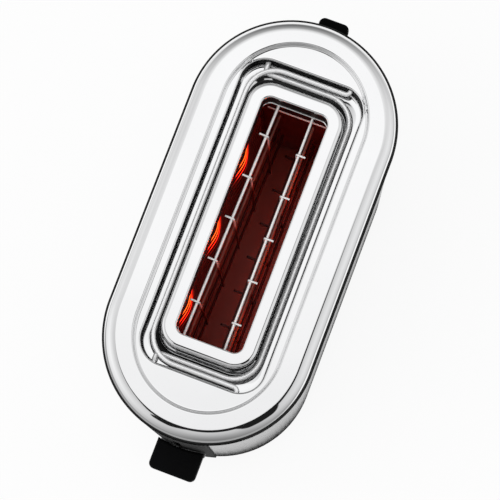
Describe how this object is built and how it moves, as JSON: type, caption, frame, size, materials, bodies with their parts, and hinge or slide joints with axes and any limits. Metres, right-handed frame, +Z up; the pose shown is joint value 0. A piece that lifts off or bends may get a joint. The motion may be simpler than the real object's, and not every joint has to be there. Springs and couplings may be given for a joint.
{
  "type": "toaster",
  "caption": "One-slot long toaster with a stadium body, pressed bright cover, fold-away bun rack, sliding bread carriage and crumb tray.",
  "frame": {"origin": "on the table under the middle of the body", "axes": "+Z up, -Y towards the carriage lever, +Y towards the bun rack lever, +X to the right seen from the carriage lever"},
  "size_m": [0.1186, 0.2804, 0.188],
  "materials": {
    "chrome": "polished",
    "shell_steel": "polished satin",
    "black_plastic": "fine satin",
    "button_plastic": "gloss",
    "foot_rubber": "matt",
    "bright_wire": "bright",
    "plated_steel": "zinc plated",
    "reflector_sheet": "heat tinted",
    "tray_sheet": "satin",
    "mica": "matt",
    "glowing_ribbon": "glowing",
    "circuit_resin": "matt",
    "magnet": "varnished",
    "ceramic_white": "glazed"
  },
  "bodies": {
    "housing": {"top_cover": "chrome", "slot_collar": "chrome", "body_shell": "shell_steel", "control_panel": "black_plastic", "base_plate": "black_plastic", "base_screws": "plated_steel", "feet": "foot_rubber", "front_frame_plate": "plated_steel", "rear_frame_plate": "plated_steel", "left_reflector": "reflector_sheet", "right_reflector": "reflector_sheet", "left_heater_board": "mica", "right_heater_board": "mica", "left_heater_ribbon": "glowing_ribbon", "right_heater_ribbon": "glowing_ribbon", "guide_rod": "plated_steel", "carriage_spring": "plated_steel", "electromagnet": "magnet", "circuit_board": "circuit_resin", "button_switches": "circuit_resin", "browning_control": "circuit_resin", "bun_guide": "plated_steel", "cord_gland": "black_plastic", "gland_nut": "black_plastic", "terminal_block": "ceramic_white"},
    "carriage": {"bread_rack": "bright_wire", "carriage_bracket": "plated_steel", "lever_knob": "black_plastic", "armature": "plated_steel"},
    "left_guard_body": {"left_guard": "bright_wire"},
    "right_guard_body": {"right_guard": "bright_wire"},
    "browning_dial": {"browning_knob": "black_plastic", "knob_shaft": "plated_steel"},
    "cancel": {"cancel_button": "button_plastic"},
    "defrost": {"defrost_button": "button_plastic"},
    "reheat": {"reheat_button": "button_plastic"},
    "bun_lift": {"bun_slide": "plated_steel", "bun_lever": "black_plastic"},
    "left_bail_arm": {"left_bail": "bright_wire", "left_bail_cap": "plated_steel", "left_bail_crank": "plated_steel"},
    "right_bail_arm": {"right_bail": "bright_wire", "right_bail_cap": "plated_steel", "right_bail_crank": "plated_steel"},
    "tray": {"crumb_tray": "tray_sheet", "tray_grip": "black_plastic"}
  },
  "joints": [
    {"name": "carriage_slide", "type": "slide", "parent": "housing", "child": "carriage", "axis": [0, 0, 1], "range_m": [0, 0.062], "deforming": ["carriage_spring"]},
    {"name": "left_guard_slide", "type": "slide", "parent": "housing", "child": "left_guard_body", "axis": [-1, 0, 0], "range_m": [0, 0.004]},
    {"name": "right_guard_slide", "type": "slide", "parent": "housing", "child": "right_guard_body", "axis": [1, 0, 0], "range_m": [0, 0.004]},
    {"name": "browning_turn", "type": "hinge", "parent": "housing", "child": "browning_dial", "pos_m": [0, -0.1231, 0.04], "axis": [0, 1, 0], "range_deg": [-135, 135]},
    {"name": "cancel_press", "type": "slide", "parent": "housing", "child": "cancel", "axis": [0, 1, 0], "range_m": [0, 0.0015], "stiffness_N_per_m": 300},
    {"name": "defrost_press", "type": "slide", "parent": "housing", "child": "defrost", "axis": [0, 1, 0], "range_m": [0, 0.0015], "stiffness_N_per_m": 300},
    {"name": "reheat_press", "type": "slide", "parent": "housing", "child": "reheat", "axis": [0, 1, 0], "range_m": [0, 0.0015], "stiffness_N_per_m": 300},
    {"name": "bun_lift_slide", "type": "slide", "parent": "housing", "child": "bun_lift", "axis": [0, 0, 1], "range_m": [0, 0.00943]},
    {"name": "left_bail_hinge", "type": "hinge", "parent": "housing", "child": "left_bail_arm", "pos_m": [0.0244, 0.0025, 0.1814], "axis": [0, 1, 0], "range_deg": [0, 36]},
    {"name": "right_bail_hinge", "type": "hinge", "parent": "housing", "child": "right_bail_arm", "pos_m": [-0.0244, 0.0025, 0.1782], "axis": [0, -1, 0], "range_deg": [0, 36]},
    {"name": "tray_pull", "type": "slide", "parent": "housing", "child": "tray", "axis": [0, 1, 0], "range_m": [0, 0.165]}
  ],
  "couplings": [
    {"joint": "left_guard_slide", "follows": "carriage_slide", "ratio": 0.064516},
    {"joint": "right_guard_slide", "follows": "carriage_slide", "ratio": 0.064516},
    {"joint": "left_bail_hinge", "follows": "bun_lift_slide", "rad_per_m": 66.6},
    {"joint": "right_bail_hinge", "follows": "bun_lift_slide", "rad_per_m": 66.6}
  ]
}
